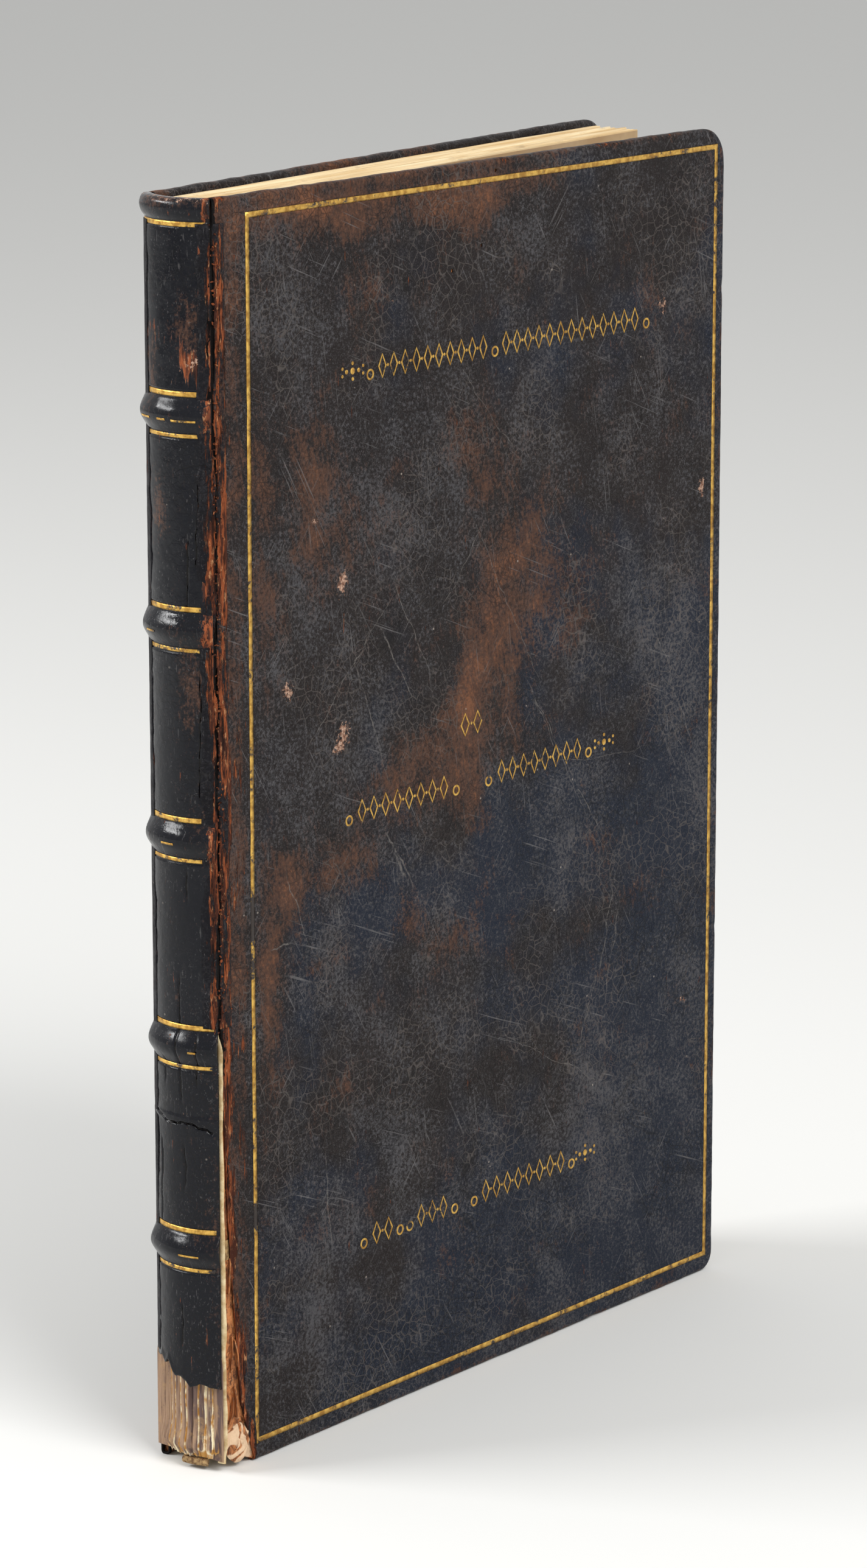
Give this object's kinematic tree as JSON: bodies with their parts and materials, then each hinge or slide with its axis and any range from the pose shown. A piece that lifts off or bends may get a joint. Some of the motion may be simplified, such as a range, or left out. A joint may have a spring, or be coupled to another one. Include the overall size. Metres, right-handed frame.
{
  "type": "antique leather-bound book",
  "caption": "Worn antique folio in black-brown leather with raised spine bands and gilt line frame, standing on its tail with the front cover ajar; both covers hinge.",
  "frame": {"origin": "centre of the box around the whole book, at the height of the tail edges it stands on", "axes": "+Z from tail to head; +X from the spine to the fore-edge, square to the spine of the text block; +Y from the front cover to the rear cover, so the front cover faces -Y and its fore-edge stands ajar towards -Y"},
  "size_m": [0.2112, 0.0416, 0.31],
  "materials": {
    "leaves": "matt, toned edges",
    "endpaper": "matt",
    "cord": "matt hemp",
    "thread": "matt thread",
    "leather": "worn, polished, rubbed red-brown in places",
    "pasteboard": "matt, fibrous",
    "vellum": "matt",
    "gold": "tooled gold leaf, rubbed"
  },
  "bodies": {
    "block": {"text_block": "leaves", "front_flyleaf": "endpaper", "rear_flyleaf": "endpaper", "sewing_cord_1": "cord", "sewing_cord_2": "cord", "sewing_cord_3": "cord", "sewing_cord_4": "cord", "sewing_cord_5": "cord", "head_endband": "thread", "tail_endband": "thread", "spine_leather": "leather", "spine_gilt_rules": "gold"},
    "front_cover": {"front_board": "pasteboard", "front_cover_leather": "leather", "front_pastedown": "endpaper", "front_cord_slips": "cord", "front_joint_strip": "vellum", "front_gilt_frame": "gold", "front_gilt_ornaments": "gold"},
    "rear_cover": {"rear_board": "pasteboard", "rear_cover_leather": "leather", "rear_pastedown": "endpaper", "rear_cord_slips": "cord", "rear_gilt_frame": "gold"}
  },
  "joints": [
    {"name": "front_cover_hinge", "type": "hinge", "parent": "block", "child": "front_cover", "pos_m": [-0.10094, -0.00069, 0.155], "axis": [0, 0, -1], "range_deg": [-5.5, 165]},
    {"name": "rear_cover_hinge", "type": "hinge", "parent": "block", "child": "rear_cover", "pos_m": [-0.09794, 0.02081, 0.155], "axis": [0, 0, 1], "range_deg": [0, 165]}
  ]
}
